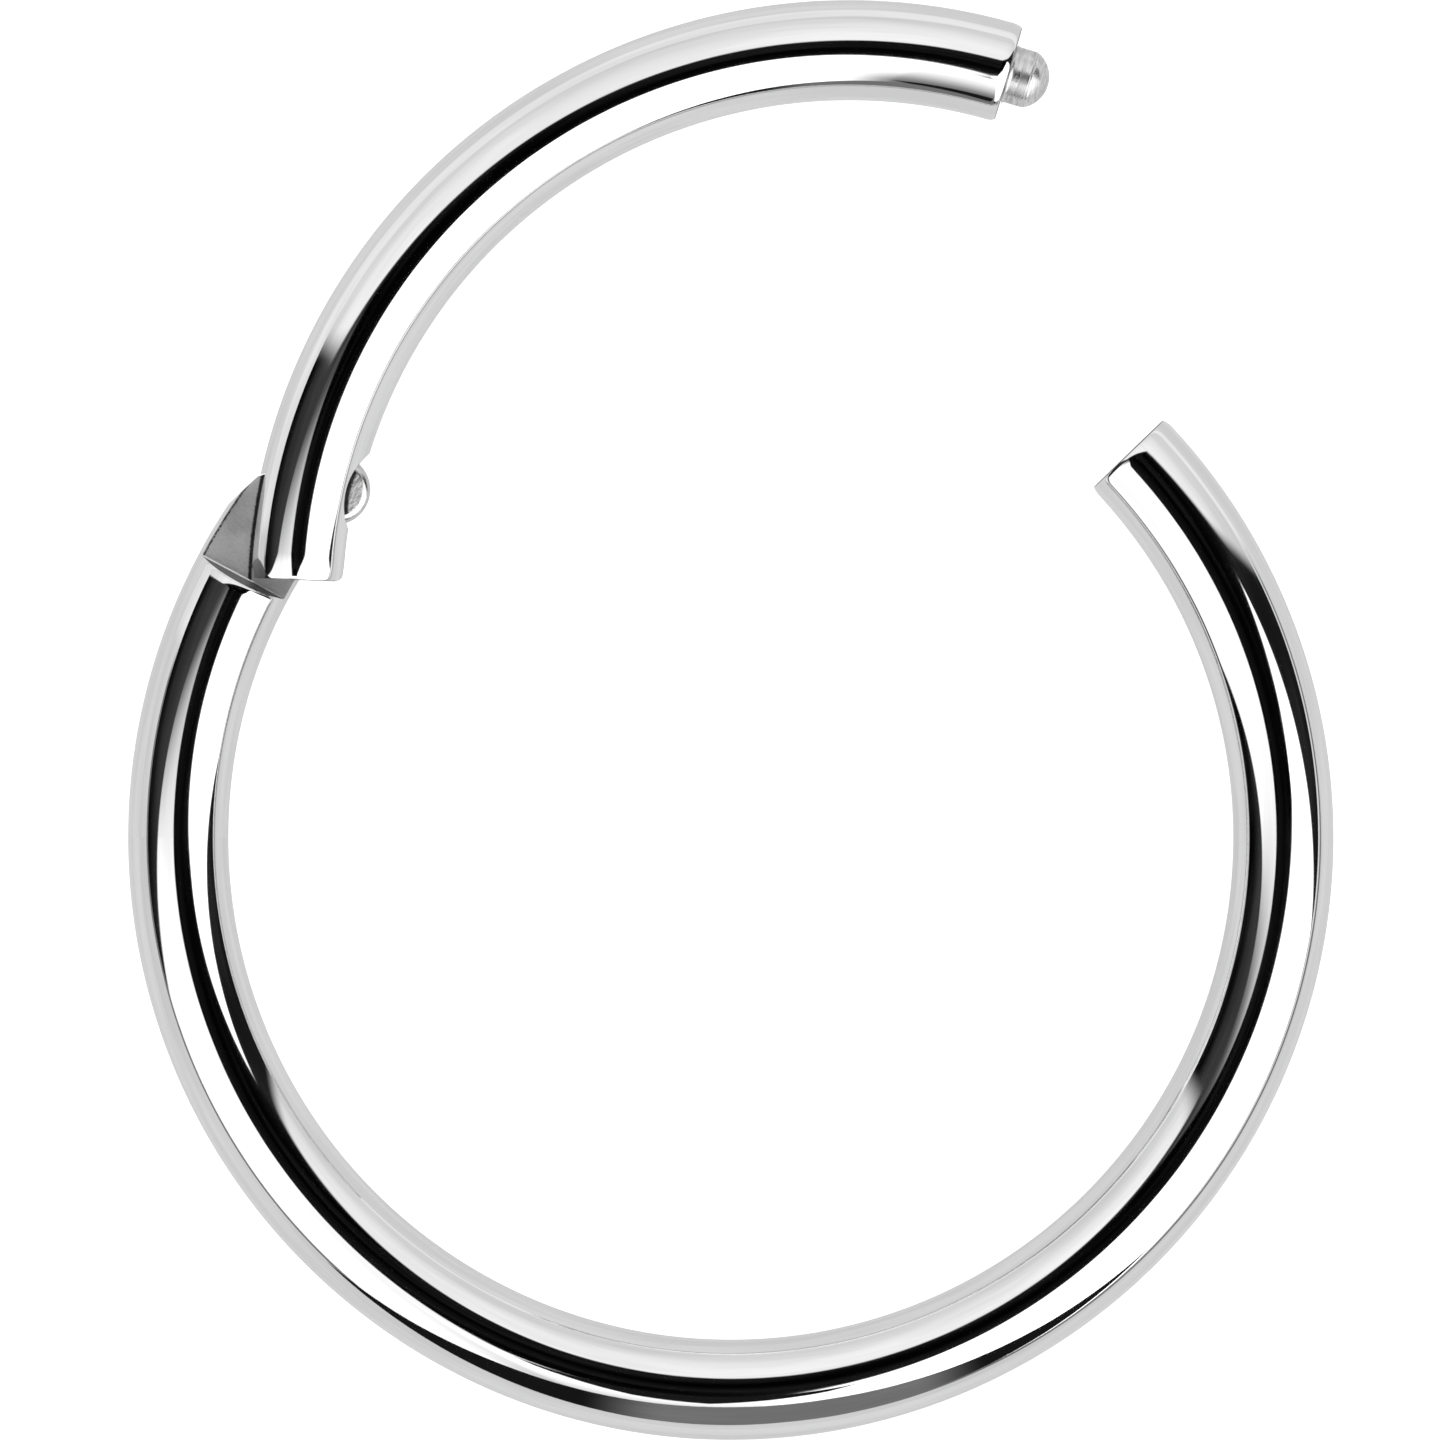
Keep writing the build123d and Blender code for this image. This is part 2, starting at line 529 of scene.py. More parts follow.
def group(name: str, inputs: dict[str, object], outputs: tuple[str, ...]
          ) -> tuple[Nodes, bpy.types.bpy_prop_collection]:
    """Starts a shader node group.

    Args:
        name: The group's name.
        inputs: Each input's first value by name: a number, or three for a vector.
        outputs: The names of its outputs, which are numbers.

    Returns:
        The tree's helper and the sockets that carry the inputs.
    """
    tree = bpy.data.node_groups.new(name, "ShaderNodeTree")
    for label, value in inputs.items():
        kind = "NodeSocketVector" if isinstance(value, tuple) else "NodeSocketFloat"
        tree.interface.new_socket(name=label, in_out="INPUT", socket_type=kind).default_value = value
    for label in outputs:
        tree.interface.new_socket(name=label, in_out="OUTPUT", socket_type="NodeSocketFloat")
    nodes = Nodes(tree)
    return nodes, nodes.add("NodeGroupInput").outputs


def make_groups() -> None:
    """Builds the effects that more than one finish uses."""
    start = {"Position": (0, 0, 0), "Mean Radius": SIZES.mean_radius}
    nodes, given = group("wire_direction", start, ("Along", "Around"))
    x, y, z = nodes.add("SeparateXYZ", {0: given["Position"]}).outputs
    level = nodes.math("SQRT", nodes.math("ADD", nodes.product(x, x), nodes.product(y, y)))
    past = nodes.math("SUBTRACT", level, given["Mean Radius"])
    along, around = nodes.math("ARCTAN2", y, x), nodes.math("ARCTAN2", z, past)
    nodes.add("NodeGroupOutput", {"Along": along, "Around": around})

    start = {"Position": (0, 0, 0), "Stretch": (1, 1, 1), "Scale": 10.0, "Detail": 3.0}
    nodes, given = group("fine_lines", start, ("Lines", "Patches"))
    stretched = nodes.vector("MULTIPLY", given["Position"], given["Stretch"])
    lines = nodes.add("TexNoise", {"Vector": stretched, "Scale": given["Scale"], "Detail": given["Detail"],
                                   "Roughness": 0.62})
    patches = nodes.add("TexNoise", {"Vector": given["Position"], "Scale": 1.7, "Detail": 2.0})
    nodes.add("NodeGroupOutput", {"Lines": lines.outputs[0], "Patches": patches.outputs[0]})


@dataclass(frozen=True)
class Steel:
    """What every steel finish shares: a pattern laid out in a frame, and a shader with a fine relief.

    The roughness is taken times its first share where the pattern is low, times its second where high.
    """

    frame: Matrix
    turn: float = 0.0
    roughness: float = 0.3
    rough_shares: tuple[float, float] = (1.0, 1.0)
    relief_strength: float = 0.1
    relief_depth: float = 0.01

    @property
    def turned(self) -> Matrix:
        """How the pattern is turned in its frame."""
        return Matrix.Rotation(math.radians(self.turn), 4, "Z")

    def look(self, nodes: Nodes, place: Socket) -> tuple[Socket, Socket, Socket]:
        """Lays out the finish's pattern.

        Args:
            nodes: The material's helper.
            place: A place on the piece in the pattern's frame, in millimetres.

        Returns:
            The colour, what the roughness follows, and the height of the relief.
        """
        raise NotImplementedError

    def material(self, name: str) -> Material:
        """Makes the material.

        Args:
            name: Its name.

        Returns:
            The material.
        """
        material = bpy.data.materials.new(name)
        material.use_nodes = True
        nodes = Nodes(material.node_tree)
        scaled = nodes.scaled(nodes.add("TexCoord").outputs["Object"], 1 / MILLIMETRE)
        back = (self.frame @ self.turned).inverted()
        place = nodes.add("Mapping", {"Vector": scaled, "Location": back.to_translation(),
                                      "Rotation": back.to_euler()}).outputs[0]
        colour, uneven, height = self.look(nodes, place)
        rough = nodes.step(uneven, *NOISE_SPAN, *(self.roughness * share for share in self.rough_shares))
        bump = nodes.add("Bump", {"Height": height, "Strength": self.relief_strength,
                                  "Distance": self.relief_depth * MILLIMETRE})
        shader = nodes.add("BsdfPrincipled", {"Metallic": 1.0, "Base Color": colour, "Roughness": rough,
                                              "Normal": bump.outputs[0]})
        nodes.add("OutputMaterial", {"Surface": shader.outputs[0]})
        return material


@dataclass(frozen=True)
class PolishedSteel(Steel):
    """Steel wire polished to a mirror, with faint lines that the buffing wheel left along it."""

    roughness: float = 0.045
    rough_shares: tuple[float, float] = (0.8, 1.25)
    relief_strength: float = 0.0035
    relief_depth: float = 0.02
    tint: Tint = (0.82, 0.82, 0.825)
    streak_depth: float = 0.09

    def look(self, nodes: Nodes, place: Socket) -> tuple[Socket, Socket, Socket]:
        """Lays out buffing lines along the wire.

        Args:
            nodes: The material's helper.
            place: A place on the piece in the pattern's frame, in millimetres.

        Returns:
            The colour, what the roughness follows, and the height of the relief.
        """
        course = nodes.grouped("wire_direction", {"Position": place, "Mean Radius": SIZES.mean_radius})
        unrolled = nodes.add("CombineXYZ", {
            0: nodes.product(course.outputs["Along"], SIZES.mean_radius),
            1: nodes.product(course.outputs["Around"], SIZES.wire_radius)}).outputs[0]
        buffed = nodes.grouped("fine_lines", {"Position": unrolled, "Stretch": (0.07, 1.0, 1.0),
                                              "Scale": 26.0, "Detail": 4.0})
        streaks = nodes.grouped("fine_lines", {"Position": unrolled, "Stretch": (0.05, 1.0, 1.0),
                                               "Scale": 5.0, "Detail": 3.0})
        dull = tuple(channel - self.streak_depth for channel in self.tint)
        colour = nodes.mixed(nodes.step(streaks.outputs["Lines"], *NOISE_MIDDLE), dull, self.tint)
        return colour, buffed.outputs["Patches"], buffed.outputs["Lines"]


@dataclass(frozen=True)
class DarkLine:
    """A dark line painted along a circle on a flat, in the piece's own frame; where it lies beside a cheek's
    edge it is painted shade.
    """

    centre: Vector
    radius: float
    width: float
    gaps: float = 0.0


@dataclass(frozen=True)
class GroundSteel(Steel):
    """Flats that a grinding wheel or cutter left matt, with straight marks and dark speckles."""

    roughness: float = 0.42
    rough_shares: tuple[float, float] = (0.85, 1.2)
    relief_strength: float = 0.12
    relief_depth: float = 0.012
    tint: Tint = (0.50, 0.50, 0.50)
    dark_tint: Tint = (0.43, 0.43, 0.43)
    grain: float = 60.0
    painted_light_in_reflections: Tint | None = None
    dark_lines: tuple[DarkLine, ...] = ()

    def look(self, nodes: Nodes, place: Socket) -> tuple[Socket, Socket, Socket]:
        """Lays out grinding marks, the dark lines, which are painted shade where they lie beside a cheek's
        edge, and the lighter tint that reflections see, which is painted light.

        Args:
            nodes: The material's helper.
            place: A place on the piece in the pattern's frame, in millimetres.

        Returns:
            The colour, what the roughness follows, and the height of the relief.
        """
        marks = nodes.grouped("fine_lines", {"Position": place, "Stretch": (0.35, 1.0, 1.0),
                                             "Scale": self.grain, "Detail": 4.0})
        worn = nodes.step(marks.outputs["Lines"], *NOISE_MIDDLE)
        colour = nodes.mixed(worn, self.dark_tint, self.tint)
        ragged = nodes.add("TexNoise", {"Vector": place, "Scale": 42.0, "Detail": 3.0}).outputs[0]
        # Each dark line darkens the colour along its circle: painted shade where the circle follows a cheek's
        # edge.
        for line in self.dark_lines:
            offset = nodes.vector("SUBTRACT", place, self.turned.inverted() @ line.centre)
            reach = nodes.vector("LENGTH", nodes.vector("MULTIPLY", offset, (1.0, 1.0, 0.0)))
            aside = nodes.math("ABSOLUTE", nodes.math("SUBTRACT", reach, line.radius))
            frayed = nodes.math("MULTIPLY_ADD", nodes.math("SUBTRACT", ragged, 0.5), 0.6 * line.width, aside)
            off_line = nodes.step(frayed, 0.2 * line.width, 0.65 * line.width, 0.06, 1.0)
            in_gap = nodes.step(ragged, 0.42, 0.6, 0.0, line.gaps)
            colour = nodes.scaled(colour, nodes.math("MAXIMUM", off_line, in_gap))
        # Glossy rays see the flat in a lighter tint than the camera does: painted light in reflections.
        if self.painted_light_in_reflections:
            colour = nodes.mixed(nodes.add("LightPath").outputs["Is Glossy Ray"], colour, self.painted_light_in_reflections)
        return colour, marks.outputs["Patches"], marks.outputs["Lines"]


@dataclass(frozen=True)
class TurnedSteel(Steel):
    """Steel as a lathe leaves it: fine rings round the pin's axis, rougher in the grooves."""

    roughness: float = 0.27
    rough_shares: tuple[float, float] = (1.4, 0.8)
    relief_strength: float = 0.22
    relief_depth: float = 0.01
    tint: Tint = (0.68, 0.68, 0.685)
    groove_tint: Tint = (0.46, 0.46, 0.465)

    def look(self, nodes: Nodes, place: Socket) -> tuple[Socket, Socket, Socket]:
        """Lays out rings round the pin, which colour, roughness and relief all follow."""
        rings = nodes.grouped("fine_lines", {"Position": place, "Stretch": (0.12, 0.12, 1.0),
                                             "Scale": 40.0, "Detail": 3.0}).outputs["Lines"]
        return nodes.mixed(nodes.step(rings, 0.32, 0.6), self.groove_tint, self.tint), rings, rings


# The ring's parts


def hinge_corners(radius: float, facing: float, heel_side: bool) -> list[Vector]:
    """The outline of the area on one side of the hinge.

    Args:
        radius: The radius of the circle about the pivot that the area's wall touches.
        facing: The way that the wall faces, in degrees.
        heel_side: True for the side of the segment's heel, False for the side of the tongue's tip.

    Returns:
        The outline's corners in the closed ring.
    """
    normal, along, pivot, far = direction(facing), direction(facing + 90), SIZES.pivot, SIZES.far
    touch = pivot + normal * radius
    if heel_side:
        beyond = [pivot + (along - normal) * far]
    else:
        beyond = [touch + (along + normal) * far, pivot + (normal - along) * far]
    return [pivot, touch, touch + along * far, *beyond, pivot - direction(SIZES.pivot_angle) * far]


@dataclass
class LargeArc:
    """The fixed arc of the ring: wire with a socket in its free end and a flat tongue at its other end."""

    rim_reach: float = 0.13
    rim_drop: float = 0.04
    socket_mouth: float = 0.45
    socket_chamfer: float = 0.03
    socket_radius: float = 0.36
    socket_depth: float = 0.485
    lead_in: float = 0.16
    shoulder_lean: float = 12.0
    root_rounding: float = 0.022
    knuckle_rounding: float = 0.11
    bore_radius: float = 0.11
    bore_half: float = 0.5
    crest_reach: float = 0.11
    crest_drop: float = 0.025
    crest_blend: float = 0.1
    crest_steps: int = 18
    tip_corner: tuple[float, float] = (-5.762, 4.203)
    tip_corner_facing: float = 133.0
    steps: int = 300

    def free_end(self) -> list[Station]:
        """The stations of the free end, down to the bottom of its socket."""
        socket = ((0, self.socket_mouth), (-self.socket_chamfer, self.socket_mouth - self.socket_chamfer),
                  (-self.lead_in, self.socket_radius), (-self.socket_depth, self.socket_radius))
        return [*soft_rim(self.rim_reach, self.rim_drop), *(Station(*step, Surface.FACED) for step in socket)]

    def shoulder_tool(self, way: int) -> Solid:
        """What is cut away above or below the tongue, back to a leaning shoulder.

        Args:
            way: 1 for the tool above the tongue, -1 for the one below.

        Returns:
            The tool solid.
        """
        lean, height, far = math.radians(self.shoulder_lean), SIZES.wire_radius, SIZES.far
        outline = [Vector((x, y, 0)) for x, y in
                   ((0, 0), (math.tan(lean) * height, height), (-far, height), (-far, 0))]
        tool = Solid.prism(outline, THROUGH)
        tool.round_off([e for e in tool.bm.edges if all(v.co.xy.length < TINY for v in e.verts)],
                       self.root_rounding, 6)
        onwards, outwards = direction(SIZES.shoulder_angle + 90), direction(SIZES.shoulder_angle)
        origin = outwards * SIZES.mean_radius + UP * way * SIZES.tongue_half
        tool.moved(framed(origin, onwards, UP * way, outwards)).finished(Surface.SHADED)
        wall = onwards * math.cos(lean) - UP * way * math.sin(lean)
        for face in tool.bm.faces:
            if abs(face.normal.z) > LEVEL:
                face.material_index = Surface.GROUND
            elif face.normal.dot(wall) < LEVEL and face.normal.dot(onwards) > 0.05:
                face.material_index = Surface.SATIN
        return tool

    def tip_corner_tool(self) -> Solid:
        """Makes the chamfer of the tongue's outer corner.

        Returns:
            What the chamfer takes away.
        """
        middle, normal = Vector((*self.tip_corner, 0)), direction(self.tip_corner_facing)
        along = direction(self.tip_corner_facing + 90) * SIZES.wire_radius
        outline = [middle - along, middle + along, middle + along + normal, middle - along + normal]
        return Solid.prism(outline, THROUGH, Surface.SATIN)

    def soften_crests(self, blank: Wire) -> None:
        """Rounds the wire where it will meet the shoulders, above and below the tongue.

        Args:
            blank: The uncut wire.
        """
        outwards, onwards = direction(SIZES.shoulder_angle), direction(SIZES.shoulder_angle + 90)
        root, lean = outwards * SIZES.mean_radius, math.tan(math.radians(self.shoulder_lean))
        span = self.crest_reach + lean * (SIZES.wire_radius - SIZES.tongue_half)
        for step in range(self.crest_steps + 1):
            near = [f for f in blank.bm.faces if (f.calc_center_median() - root).length < THROUGH]
            around = list({e for f in near for e in f.edges}) + list({v for f in near for v in f.verts})
            bmesh.ops.bisect_plane(blank.bm, geom=near + around, plane_no=onwards, dist=1e-4,
                                   plane_co=root + onwards * (span * step / self.crest_steps))
        for vert in blank.bm.verts:
            if (vert.co - root).length > THROUGH:
                continue
            rise = abs(vert.co.z) - SIZES.tongue_half
            past = (vert.co - root).dot(onwards) - lean * max(rise, 0.0)
            near = min(max(1 - past / self.crest_reach, 0.0), 1.0)
            blend = min(max(rise / self.crest_blend, 0.0), 1.0)
            drop = self.crest_drop * (1 - math.sqrt(1 - near * near)) * blend * blend * (3 - 2 * blend)
            middle = Vector((vert.co.x, vert.co.y, 0)).normalized() * SIZES.mean_radius
            vert.co = middle + (vert.co - middle) * (1 - drop / SIZES.wire_radius)
        blank.finished()

    def build(self, materials: list[Material]) -> Thing:
        """Makes the piece.

        Args:
            materials: The material of each surface.

        Returns:
            The piece.
        """
        start = SIZES.pivot_angle - math.degrees(2 * SIZES.slot_radius / SIZES.pivot_radius)
        tongue_end = [Station(0, SIZES.wire_radius, Surface.GROUND)]
        blank = Wire(start, SIZES.free_end_angle + 360, self.steps, tongue_end, self.free_end())
        self.soften_crests(blank)
        guide = SmoothGuide(blank)
        knuckle = Solid.drum(SIZES.pivot, SIZES.knuckle_radius, SIZES.tongue_half,
                             surface=Surface.SATIN, rounding=self.knuckle_rounding)
        for face in knuckle.bm.faces:
            if abs(face.normal.z) > LEVEL:
                face.material_index = Surface.FACED
        tip = hinge_corners(SIZES.knuckle_radius, SIZES.tip_facing, False)
        blank.changed_by(Cut.AWAY, self.shoulder_tool(1), self.shoulder_tool(-1),
                         Solid.prism(tip, THROUGH), self.tip_corner_tool())
        blank.changed_by(Cut.ADDED, knuckle)
        blank.changed_by(Cut.AWAY, Solid.drum(SIZES.pivot, self.bore_radius, self.bore_half, BORE_SIDES))
        for face in blank.bm.faces:
            inside = all((v.co - SIZES.pivot).xy.length < 1.01 * SIZES.knuckle_radius for v in face.verts)
            if inside and abs(face.normal.z) > LEVEL and face.material_index == Surface.GROUND:
                face.material_index = Surface.FACED
        return dress(blank, "large_arc", SIZES.ring_frame, materials, guide)


@dataclass
class HingedSegment:
    """The short arc that swings open: wire with a forked heel and a seat for the closure pin."""

    rim_reach: float = 0.12
    rim_drop: float = 0.045
    heel_reach: float = 0.30
    heel_drop: float = 0.032
    heel_edge_steps: int = 2
    seat_radius: float = 0.355
    seat_depth: float = 0.81
    relief_radius: float = 0.82
    relief_centre: float = 5.34
    relief_sides: int = 160
    facet_length: float = 0.26
    facet_depth: float = 0.04
    facet_elevation: float = 35.0
    hole_radius: float = 0.10
    hole_half: float = 0.3977
    corner_radius: float = 0.11
    corner_steps: int = 12
    lean: float = 3.4
    lean_axis: float = 41.0
    steps: int = 132

    def facet_tool(self, elevation: float) -> Solid:
        """What a small ground facet at the heel takes away.

        Args:
            elevation: How far round the wire the facet stands, in degrees.

        Returns:
            The tool solid.
        """
        turn, heel = math.radians(elevation), direction(SIZES.heel_angle)
        outwards = heel * math.cos(turn) + UP * math.sin(turn)
        onwards = direction(SIZES.heel_angle + 90)
        facing = (outwards + onwards * (self.facet_depth / self.facet_length)).normalized()
        across = facing.cross(onwards).normalized()
        middle = heel * SIZES.mean_radius + outwards * (SIZES.wire_radius - self.facet_depth)
        tool = Solid()
        bmesh.ops.create_cube(tool.bm, size=THROUGH, matrix=Matrix.Translation(UP * THROUGH / 2))
        return tool.moved(framed(middle, across, facing.cross(across), facing)).finished(Surface.GROUND)

    def corner_tool(self) -> Solid:
        """Makes the rounding of the heel's inner corner.

        Returns:
            What the rounding takes away.
        """
        outwards, onwards = direction(SIZES.heel_angle), direction(SIZES.heel_angle + 90)
        cheek_half = math.sqrt(SIZES.wire_radius**2 - SIZES.slot_half**2)
        inner, rounding = SIZES.mean_radius - cheek_half, self.corner_radius
        middle = outwards * (inner + rounding) - onwards * rounding
        turns = [math.radians(90 * step / self.corner_steps) for step in range(self.corner_steps + 1)]
        arc = [middle + (onwards * math.cos(t) - outwards * math.sin(t)) * rounding for t in turns]
        beyond = [arc[-1] - outwards * rounding, outwards * inner + (onwards - outwards) * rounding,
                  arc[0] + onwards * rounding]
        return Solid.prism(arc + beyond, THROUGH, Surface.SATIN)

    def build(self, materials: list[Material]) -> Thing:
        """Makes the piece.

        Args:
            materials: The material of each surface.

        Returns:
            The piece.
        """
        seat = [Station(-depth, self.seat_radius, Surface.FACED) for depth in (0, self.seat_depth)]
        blank = Wire(SIZES.segment_end_angle, SIZES.heel_angle, self.steps,
                     [*soft_rim(self.rim_reach, self.rim_drop), *seat],
                     soft_rim(self.heel_reach, self.heel_drop, self.heel_edge_steps))
        guide = SmoothGuide(blank, Matrix.Rotation(math.radians(self.lean), 3, direction(self.lean_axis)))
        slot = hinge_corners(SIZES.slot_radius, SIZES.tip_facing - SIZES.opening_angle, True)
        relief = direction(SIZES.pivot_angle) * self.relief_centre
        blank.changed_by(
            Cut.AWAY,
            Solid.prism(slot, SIZES.slot_half),
            Solid.drum(SIZES.pivot, SIZES.slot_radius, SIZES.slot_half),
            Solid.drum(relief, self.relief_radius, THROUGH, self.relief_sides),
            self.facet_tool(self.facet_elevation),
            self.facet_tool(-self.facet_elevation),
            self.corner_tool(),
            Solid.drum(SIZES.pivot, self.hole_radius, self.hole_half, BORE_SIDES),
        )
        return dress(blank, "hinged_segment", SIZES.segment_frame, materials, guide)


@dataclass
class ClosurePin:
    """The turned pin that stands out of the segment's end and snaps into the socket."""

    radius: float = 0.345
    length: float = 0.49
    dome_height: float = 0.225
    dome_steps: int = 24
    dome_share: float = 0.999
    flare: float = 0.03
    flare_stretch: float = 1.4
    flare_steps: int = 8
    ridges: int = 8
    ridge_depth: float = 0.0022
    brim_reach: float = 0.012
    brim_drop: float = 0.008
    seat_gap: float = 0.01
    seat_depth: float = 0.8
    segments: int = 128

    def profile(self) -> list[tuple[float, float]]:
        """Draws the pin's outline from its seated end to its tip.

        Returns:
            The reach and the radius of each of its points.
        """
        dome_radius = (self.radius**2 + self.dome_height**2) / (2 * self.dome_height)
        middle, start = self.length - dome_radius, math.asin(self.radius / dome_radius)
        line = [(-self.seat_depth, 0.0), (-self.seat_depth, self.radius), (self.seat_gap, self.radius),
                (self.seat_gap, self.radius + self.flare)]
        for step in range(1, self.flare_steps + 1):
            turn = math.radians(90 * step / self.flare_steps)
            line.append((self.seat_gap + self.flare * (1 - math.cos(turn)) * self.flare_stretch,
                         self.radius + self.flare * (1 - math.sin(turn))))
        shoulder = self.length - self.dome_height
        groove = self.seat_gap + self.flare * self.flare_stretch
        for ridge in range(1, self.ridges + 1):
            here = groove + (shoulder - groove) * ridge / (self.ridges + 1)
            line.append((here, self.radius - (self.ridge_depth if ridge % 2 else 0.0)))
        line += [(shoulder - self.brim_reach, self.radius), (shoulder, self.radius - self.brim_drop)]
        for step in range(1, self.dome_steps + 1):
            turn = start * (1 - step / self.dome_steps)
            line.append((middle + dome_radius * math.cos(turn),
                         dome_radius * math.sin(turn) * self.dome_share))
        return line

    def build(self, materials: list[Material]) -> Thing:
        """Makes the piece.

        Args:
            materials: The material of each surface.

        Returns:
            The piece.
        """
        pin = Solid()
        verts = [pin.bm.verts.new((radius, 0, reach)) for reach, radius in self.profile()]
        edges = [pin.bm.edges.new(pair) for pair in zip(verts, verts[1:])]
        bmesh.ops.spin(pin.bm, geom=verts + edges, cent=(0, 0, 0), axis=UP, angle=2 * math.pi,
                       steps=self.segments, use_merge=True)
        bmesh.ops.remove_doubles(pin.bm, verts=pin.bm.verts, dist=1e-5)
        return dress(pin.finished(Surface.POLISHED), "closure_pin_turned", self.frame(), materials)

    @staticmethod
    def frame() -> Matrix:
        """The pin's frame in the row: its z runs out of the segment's end."""
        mouth = SIZES.across(SIZES.segment_end_angle)
        return SIZES.segment_frame @ mouth @ Matrix.Rotation(math.pi, 4, "X")


# Studio


@dataclass(frozen=True)
class SoftPanel:
    """A lit panel of the studio, seen from the ring.

    Its corners are where it shows on a level plane one unit above the ring, in order against the clock.
    Towards the floor its light goes down to the low share, and a panel may fade out towards the back.
    """

    corners: tuple[tuple[float, float], ...]
    strength: float
    softness: float = 0.03
    low_share: float = 1.0
    fades: bool = False


@dataclass
class Studio:
    """A white floor under a round tent with lit panels, and a camera straight above.

    A ramp is where a smooth step starts and ends, and the light under and over it if not 0 and 1.
    """

    dome_radius: float = 120.0
    dome_cut: float = -2.0
    slopes: tuple[Ramp, Ramp] = ((0.25, 0.78), (0.95, 0.84))
    left_haze: Ramp = (-0.25, -0.5, 0.0, 0.045)
    right_haze: Ramp = (0.3, 0.8, 0.0, 0.01)
    clouds: Ramp = (0.4, 0.7, 0.001, 0.012)
    panel_rise: Ramp = (0.15, 0.85)
    back_fade: Ramp = (0.2, -0.08, 0.06, 1.0)
    dim_sides: tuple[Ramp, Ramp] = ((-0.35, -0.22), (0.16, 0.0))
    dim_front: Ramp = (0.0, -0.3)
    dim_height: Ramp = (0.35, 1.0, 0.85, 0.0)
    horizon: Ramp = (0.06, 0.03, 0.0, 0.95)
    floor_half: float = 3000.0
    floor_glow: Ramp = (0.0, 1.0, 0.28, 0.85)
    floor_tone: float = 0.55
    kerb_radius: float = 12.5
    kerb_height: float = 1.75
    kerb_blank: float = 8.0
    kerb_slope: float = -0.075
    kerb_rim: float = 0.45
    kerb_rim_blur: float = 0.02
    kerb_tones: tuple[float, float] = (0.22, 0.78)
    kerb_back: float = 95.0
    kerb_back_fade: Ramp = (2.5, 4.5)
    flag_radius: float = 12.2
    flag_ribs: tuple[tuple[float, float, float], ...] = (
        (-39, 1.6, 1.65), (-30, 1.45, 2.9), (-20, 1.25, 4.5), (-9, 1.1, 5.4), (0, 1.1, 6.0), (9, 1.3, 5.9),
        (20, 1.3, 4.4), (30, 1.4, 3.0), (41, 1.55, 1.6))
    flag_middle: tuple[Ramp, Ramp] = ((-0.0028, -0.0012), (0.0048, 0.0034))
    flag_tones: tuple[float, float] = (0.01, 0.2)
    seam_place: float = -9.8
    seam_corners: tuple[tuple[float, float], ...] = (
        (-0.3, 3.7), (1.5, 5.5), (2.0, 7.2), (-3.6, 7.2), (-3.1, 6.1), (-1.5, 4.2))
    seam_tone: float = 0.012
    camera_distance: float = 600.0
    frame_width: float = 17.26
    sensor_width: float = 36.0
    aim: tuple[float, float, float] = (-0.099, -0.030, 0.6)
    panels: tuple[SoftPanel, ...] = (
        # the right softbox
        SoftPanel(((15.0, -2.6), (0.80, 0.38), (0.46, 0.04), (0.40, -9.0), (9.0, -15.0)), 2.0),
        SoftPanel(((1.0, 0.30), (0.15, -0.15), (0.06, -0.27), (0.04, -0.40), (0.0, -9.0), (3.0, -9.0)), 2.0),
        # the left softbox
        SoftPanel(((-0.24, 0.0), (-0.42, 0.31), (-6.0, -2.2), (-7.5, -9.7), (-3.2, -13.0), (-0.2, -9.0),
                   (-0.17, -0.36), (-0.19, -0.15)), 1.35, fades=True),
        # the strip where the two boxes meet
        SoftPanel(((0.2, -0.40), (-0.3, -0.40), (-0.6, -9.0), (0.6, -9.0)), 1.6),
        # the bright wall behind
        SoftPanel(((-40.0, 20.8), (-0.62, 0.35), (-0.2, 0.39), (0.3, 0.44), (0.95, 0.59), (40.0, 20.0),
                   (40.0, 60.0), (-40.0, 60.0)), 1.12, softness=0.07, low_share=0.72),
    )

    def dome(self) -> None:
        """Makes the tent, which the camera doesn't see."""
        bm = bmesh.new()
        bmesh.ops.create_uvsphere(bm, u_segments=48, v_segments=24, radius=self.dome_radius * MILLIMETRE)
        self.trim(bm, UP * self.dome_cut, -UP)
        bmesh.ops.reverse_faces(bm, faces=bm.faces)
        nodes = self.staged("tent", bm, "tent_light")
        way = nodes.vector("NORMALIZE", nodes.add("TexCoord").outputs["Object"])
        across, back, height = nodes.add("SeparateXYZ", {0: way}).outputs
        slopes = nodes.product(*(nodes.step(height, *ramp) for ramp in self.slopes))
        left = nodes.product(nodes.step(across, *self.left_haze), slopes)
        clouds = nodes.add("TexNoise", {"Vector": way, "Scale": 5.0, "Detail": 3.0}).outputs[0]
        base = nodes.math("ADD", nodes.step(clouds, *self.clouds), nodes.step(across, *self.right_haze))
        light = nodes.math("ADD", base, left)
        for panel in self.panels:
            low = panel.strength * panel.low_share
            glow = nodes.step(height, *self.panel_rise, low, panel.strength)
            for here, there in zip(panel.corners, panel.corners[1:] + panel.corners[:1]):
                wall = Vector((*here, 1.0)).cross(Vector((*there, 1.0))).normalized()
                side = nodes.vector("DOT_PRODUCT", way, wall)
                glow = nodes.product(glow, nodes.step(side, -panel.softness / 2, panel.softness / 2))
            if panel.fades:
                glow = nodes.product(glow, nodes.step(back, *self.back_fade))
            light = nodes.math("MAXIMUM", light, glow)
        dimmed = nodes.product(*(nodes.step(across, *ramp) for ramp in self.dim_sides),
                               nodes.step(back, *self.dim_front), nodes.step(height, *self.dim_height))
        light = nodes.product(light, nodes.math("SUBTRACT", 1.0, dimmed))
        self.shine(nodes, nodes.math("MAXIMUM", light, nodes.step(height, *self.horizon)))

